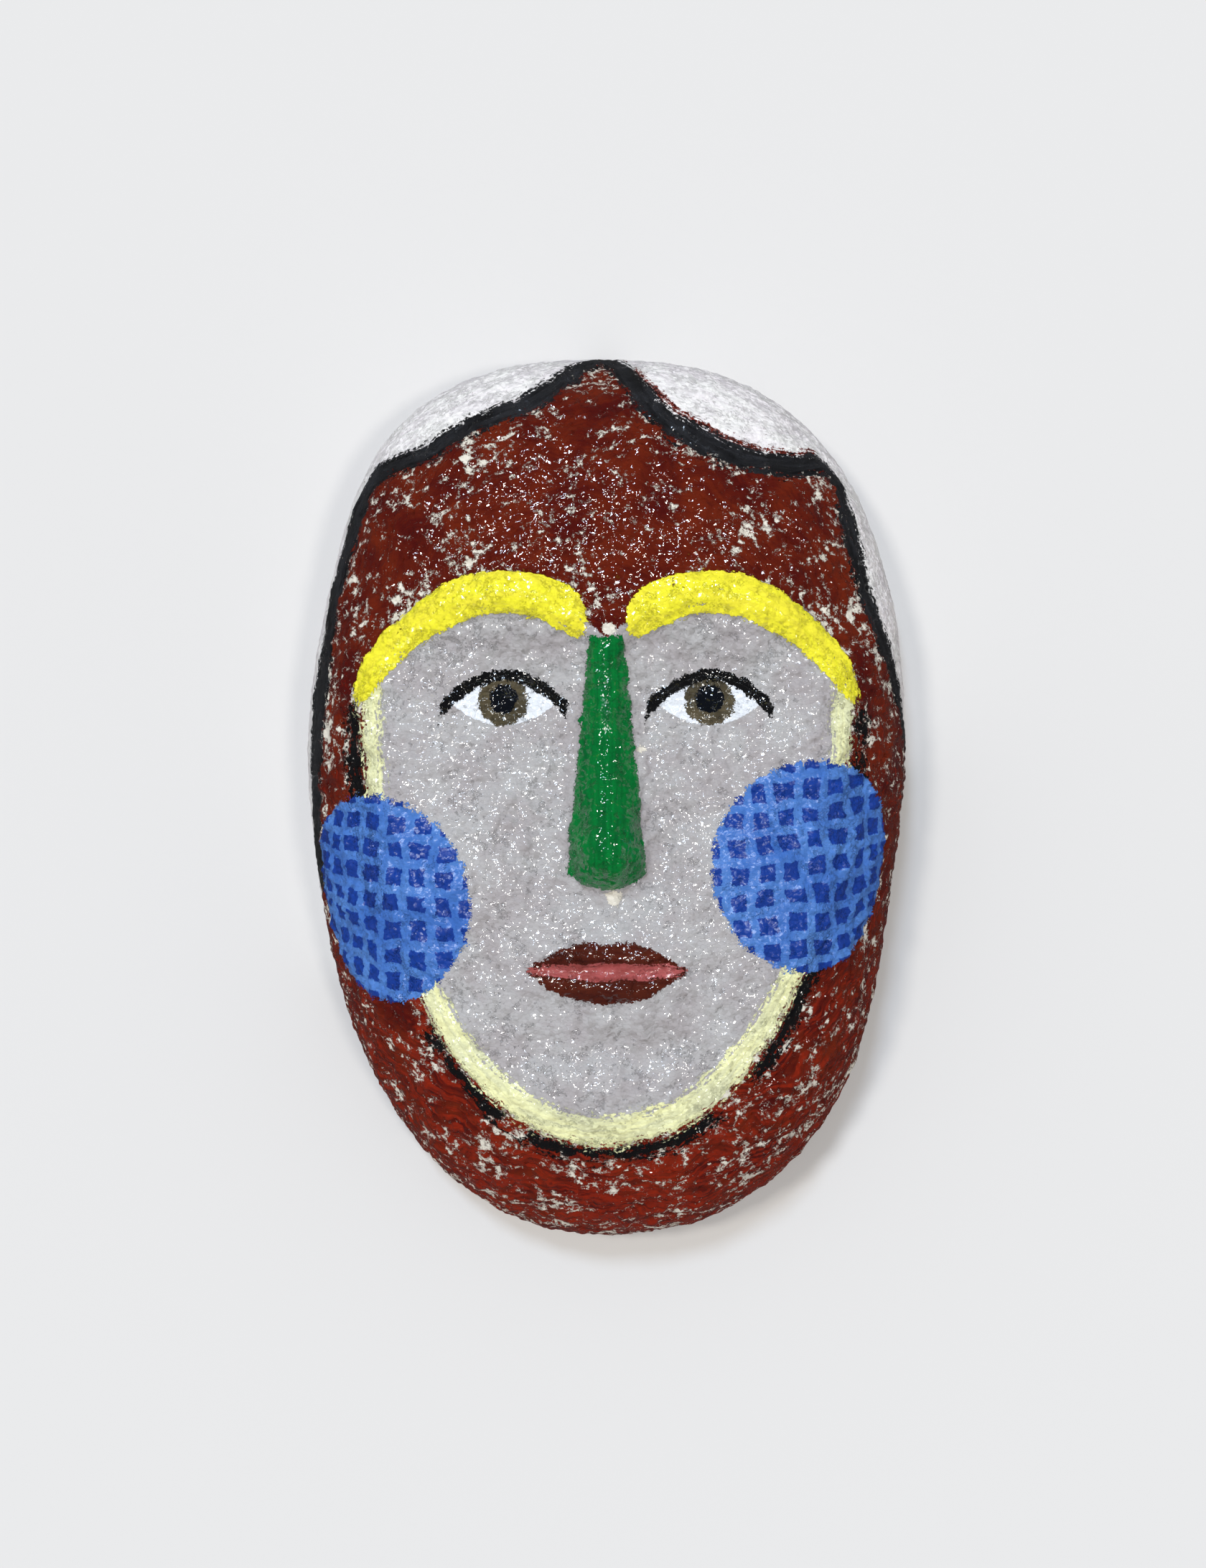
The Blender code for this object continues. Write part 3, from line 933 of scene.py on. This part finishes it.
def pulp_grain_group():
    """The height of the fine grain of pulp under glossy paint, in millimetres: swells, hairs and facets."""
    group, bench, given, result = effect_group("pulp grain", "Height", "Place", "Stroke")
    swells = bench.math("ABSOLUTE", bench.math("SUBTRACT", bench.noise(given["Place"], 0.42, 1), 0.5))
    hairs = bench.noise(bench.stretch(given["Stroke"], (0.25, 0.25, 0.85)), 1.0, 0)
    flattened = bench.stretch(given["Place"], (0.8, 1.1, 1.0))
    cells = bench.add("TexVoronoi", None, {"Vector": flattened, "Scale": 0.85}).outputs
    tilt = bench.vector_math("SUBTRACT", cells["Color"], (0.5, 0.5, 0.5))
    away = bench.vector_math("SUBTRACT", flattened, cells["Position"])
    facets = bench.vector_math("DOT_PRODUCT", tilt, away)
    height = bench.math("MULTIPLY_ADD", swells, 0.55, bench.math("MULTIPLY", facets, 0.6))
    bench.join(result, bench.math("MULTIPLY_ADD", hairs, 0.1, height))
    return group


# The coats that lie over the hood, from the first to the last: the zone, its two tones, the way the brush
# went and the streaks' share of the tones, the brush, the raggedness or feather in millimetres, the
# fullness of a dry brush, the roughness and the thickness in millimetres
COATS = (
    ("white", "white", "lavender", "line", 0.5, "dry", 4.0, 0.98, 0.3, 0.1),
    ("smear", "hood_bright", "hood", "line", 0.5, "dry", 6.0, 0.15, 0.2, 0.1),
    ("hood_line", "black", "black_worn", "line", 0.6, "dry", 7.0, 0.9, 0.13, 0.25),
    ("face", "grey", "grey_warm", "rings", 0.2, "wet", 0.6, 0, 0.08, 0.1),
    ("outline", "black", "black", "oval", 0.5, "dry", 8.0, 0.1, 0.13, 0.3),
    ("band", "pale", "pale_worn", "oval", 0.6, "dry", 7.0, 0.95, 0.2, 0.1),
    ("brow", "yellow", "yellow_deep", "brows", 0.8, "dry", 2.4, 0.74, 0.1, 0.2),
    ("disc", "blue", "blue_deep", "rings", 0.3, "wet", 1.6, 0, 0.34, 0.12),
    ("bare", "primer", "primer", "level", 0.5, "wet", 1.0, 0, 0.5, -0.1),
    ("eye", "eye", "eye", "level", 0.5, "wet", 0.35, 0, 0.12, 0.12),
    ("iris", "iris", "iris_deep", "level", 0.5, "wet", 1.1, 0, 0.18, 0.1),
    ("pupil", "pupil", "pupil", "level", 0.5, "wet", 0.8, 0, 0.08, 0.12),
    ("lash", "black", "black", "level", 0.5, "wet", 0.9, 0, 0.07, 0.3),
    ("lips", "brown", "brown_deep", "level", 0.5, "wet", 1.0, 0, 0.12, 0.1),
    ("parting", "pink", "pink_deep", "level", 0.5, "dry", 2.8, 0.96, 0.2, 0.12),
    ("nose", "green", "green_deep", "upright", 0.7, "wet", 1.0, 0, 0.07, 0.25),
)


def painted_paper(paint):
    """The coats of paint over primer, and bare pulp inside."""
    material = bpy.data.materials.new("painted paper")
    material.use_nodes = True
    bench = NodeBench(material.node_tree)
    shader = material.node_tree.nodes["Principled BSDF"]
    ragged, dry, flecks, tones, grain = (
        ragged_edge_group(), dry_brush_group(), bare_flecks_group(), two_tones_group(), pulp_grain_group()
    )
    place = bench.vector("place")
    wander = bench.add("TexNoise", None, {"Vector": place, "Scale": 0.05, "Detail": 1.0}).outputs["Color"]
    stroke = bench.vector_math("MULTIPLY_ADD", wander, [STROKE_WANDER] * 3, bench.vector("stroke"))
    across, up, _ = bench.add("SeparateXYZ", None, {0: place}).outputs
    directions = {
        "rings": stroke,
        "brows": bench.vector("brow_stroke"),
        "line": bench.vector("line_stroke"),
        "oval": bench.vector("oval_stroke"),
        "level": bench.add("CombineXYZ", None, {"X": across, "Z": up}).outputs[0],
        "upright": bench.add("CombineXYZ", None, {"X": up, "Z": across}).outputs[0],
    }

    def toned(marks, first, second, streaks):
        return bench.effect(tones, Place=place, Stroke=marks, First=first, Second=second, Streaks=streaks)

    shade = toned(stroke, paint.hood, paint.hood_deep, 0.3)
    # The rust red streaks of the hood, more of them towards the chin: partly the paint's own tone, partly
    # painted light that brightens the lower hood as if lit from below.
    bright = bench.noise(bench.stretch(stroke, (0.13, 0.13, 0.6)), 1.0, 4, 0.6)
    bright = bench.between(bench.math("MULTIPLY_ADD", up, -BRIGHT_AND_PAINTED_LIGHT_FALL, bright), 0.54, 0.72)
    shade = bench.blend(bench.math("MULTIPLY", bright, 0.8), shade, paint.hood_bright)
    wear = bench.math("ADD", bench.value("wear"), paint.wear - 0.5)
    missed = bench.effect(flecks, Place=place, Stroke=stroke, Lump=bench.value("lump"), Wear=wear)
    shade = bench.blend(missed, shade, paint.primer)
    rough = bench.blend_value(missed, HOOD_ROUGHNESS, PRIMER_ROUGHNESS)
    height = bench.math("MULTIPLY", missed, -HOOD_THICKNESS)

    for zone, first, second, direction, streaks, brush, edge, fullness, roughness, thickness in COATS:
        marks = directions[direction]
        tone = toned(marks, getattr(paint, first), getattr(paint, second), streaks)
        where = {"Place": place, "Distance": bench.value(zone)}
        if brush == "dry":
            mask = bench.effect(dry, Stroke=marks, Feather=edge, Fullness=fullness, **where)
        else:
            mask = bench.effect(ragged, Raggedness=edge, Softness=0.12, **where)
        if zone == "disc":
            light = toned(bench.vector("grid"), paint.light_blue, paint.light_blue_thin, 0.7)
            tone = bench.blend(grid_lines(bench, ragged, place), tone, light)
        shade = bench.blend(mask, shade, tone)
        rough = bench.blend_value(mask, rough, roughness)
        height = bench.math("MULTIPLY_ADD", mask, thickness, height)

    within = bench.math("SUBTRACT", bench.value("within"), PAINT_UNDER_RIM)
    within = bench.effect(ragged, Place=place, Distance=within, Raggedness=1.2, Softness=0.3)
    shade = bench.blend(within, shade, toned(stroke, paint.pulp, paint.pulp_dark, 0.0))
    rough = bench.blend_value(within, rough, PULP_ROUGHNESS)

    height = bench.math("ADD", height, bench.effect(grain, Place=place, Stroke=stroke))
    bump = bench.add("Bump", None, {"Height": height, "Distance": MM, "Strength": 1.0})
    bench.join(shader.inputs["Base Color"], shade)
    bench.join(shader.inputs["Roughness"], rough)
    bench.join(shader.inputs["Specular IOR Level"], REFLECTION)
    bench.join(shader.inputs["Normal"], bump.outputs[0])
    return material


def grid_lines(bench, ragged, place):
    """The light grid painted by hand over the blue discs. The shifts keep the two wobbles apart."""
    split = bench.add("SeparateXYZ", None, {0: bench.vector("grid")}).outputs
    nearest = []
    for axis, shift in ((0, 5.0), (1, 60.0)):
        moved = bench.vector_math("ADD", place, (shift, 0, 0))
        wobble = bench.math("SUBTRACT", bench.noise(moved, 0.075, 2), 0.5)
        line = bench.math("MULTIPLY_ADD", wobble, GRID_WOBBLE, split[axis])
        turn = bench.math("FRACT", bench.math("DIVIDE", line, GRID_PITCH))
        away = bench.math("ABSOLUTE", bench.math("SUBTRACT", turn, 0.5))
        nearest.append(bench.math("MULTIPLY", away, GRID_PITCH))
    off_line = bench.math("MINIMUM", *nearest)
    inside = bench.math("SUBTRACT", GRID_HALF, off_line)
    return bench.effect(ragged, Place=place, Distance=inside, Raggedness=0.45, Softness=0.1)


class MASK_OT_form_mask(bpy.types.Operator):
    """Form the paper mask and paint it"""

    bl_idname = "mask.form_mask"
    bl_label = "Form and paint the mask"

    def execute(self, context):
        data = form_mask(context.scene.mask_form)
        piece = bpy.data.objects.new("painted_mask", data)
        context.scene.collection.objects.link(piece)
        data.shade_smooth()
        data.materials.append(painted_paper(context.scene.mask_paint))
        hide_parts("mask")
        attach(piece, "root")
        return {"FINISHED"}


def add_light(name, strength, spread, toward, tint):
    """An even light from far away: the angle it covers in degrees, and the direction it comes from."""
    lamp = bpy.data.lights.new(name, "SUN")
    lamp.energy = strength
    lamp.angle = np.radians(spread)
    lamp.color = tint
    made = bpy.data.objects.new(name, lamp)
    made.location = Vector(toward).normalized()
    made.rotation_euler = Vector(toward).to_track_quat("Z", "Y").to_euler()
    bpy.context.scene.collection.objects.link(made)


class MASK_OT_set_stage(bpy.types.Operator):
    """Lay out the table, the lights and the camera"""

    bl_idname = "mask.set_stage"
    bl_label = "Set the stage"

    def execute(self, context):
        stage = context.scene.mask_stage
        mesh = bmesh.new()
        bmesh.ops.create_grid(mesh, x_segments=1, y_segments=1, size=TABLE_HALF)
        data = bpy.data.meshes.new("table")
        mesh.to_mesh(data)
        mesh.free()
        table = bpy.data.objects.new("table", data)
        context.scene.collection.objects.link(table)
        matte = bpy.data.materials.new("pale table")
        matte.use_nodes = True
        inputs = matte.node_tree.nodes["Principled BSDF"].inputs
        inputs["Base Color"].default_value = [(1 - stage.floor_glow) * share for share in stage.floor]
        inputs["Roughness"].default_value = 0.9
        inputs["Specular IOR Level"].default_value = 0
        inputs["Emission Color"].default_value = stage.floor
        inputs["Emission Strength"].default_value = stage.floor_glow
        data.materials.append(matte)
        table.visible_glossy = False

        add_light("upper light", stage.upper_light, *UPPER_LIGHT)
        add_light("left light", stage.side_light, *LEFT_LIGHT)
        add_light("right light", RIGHT_SHARE * stage.side_light, *RIGHT_LIGHT)
        world = bpy.data.worlds.new("even light")
        world.use_nodes = True
        bench = NodeBench(world.node_tree)
        reflected = bench.add("LightPath").outputs["Is Glossy Ray"]
        background = world.node_tree.nodes["Background"].inputs
        bench.join(background["Color"], (1, 1, 1, 1))
        bench.join(background["Strength"], bench.blend_value(reflected, stage.sky, stage.sky_reflected))
        context.scene.world = world
        context.scene.view_settings.view_transform = "Standard"

        camera = bpy.data.cameras.new("camera")
        camera.lens = stage.lens
        made = bpy.data.objects.new("camera", camera)
        made.location = (CAMERA_X, CAMERA_Y, stage.camera_height)
        context.scene.collection.objects.link(made)
        context.scene.camera = made
        return {"FINISHED"}


class MASK_PT_panel(bpy.types.Panel):
    """The mask's values and its buttons"""

    bl_label = "Mask"
    bl_idname = "MASK_PT_panel"
    bl_space_type = "VIEW_3D"
    bl_region_type = "UI"
    bl_category = "Mask"

    def draw(self, context):
        for group in (context.scene.mask_form, context.scene.mask_paint, context.scene.mask_stage):
            box = self.layout.box()
            for name in group.__annotations__:
                box.prop(group, name)
        self.layout.operator(MASK_OT_form_mask.bl_idname)
        self.layout.operator(MASK_OT_set_stage.bl_idname)


CLASSES = (MaskForm, MaskPaint, MaskStage, MASK_OT_form_mask, MASK_OT_set_stage, MASK_PT_panel)
GROUPS = {"mask_form": MaskForm, "mask_paint": MaskPaint, "mask_stage": MaskStage}


def register():
    for made in CLASSES:
        bpy.utils.register_class(made)
    for name, kind in GROUPS.items():
        setattr(bpy.types.Scene, name, bpy.props.PointerProperty(type=kind))


def unregister():
    for name in GROUPS:
        delattr(bpy.types.Scene, name)
    for made in reversed(CLASSES):
        bpy.utils.unregister_class(made)


def main():
    register()
    bpy.ops.mask.form_mask()
    bpy.ops.mask.set_stage()


if __name__ == "__main__":
    main()
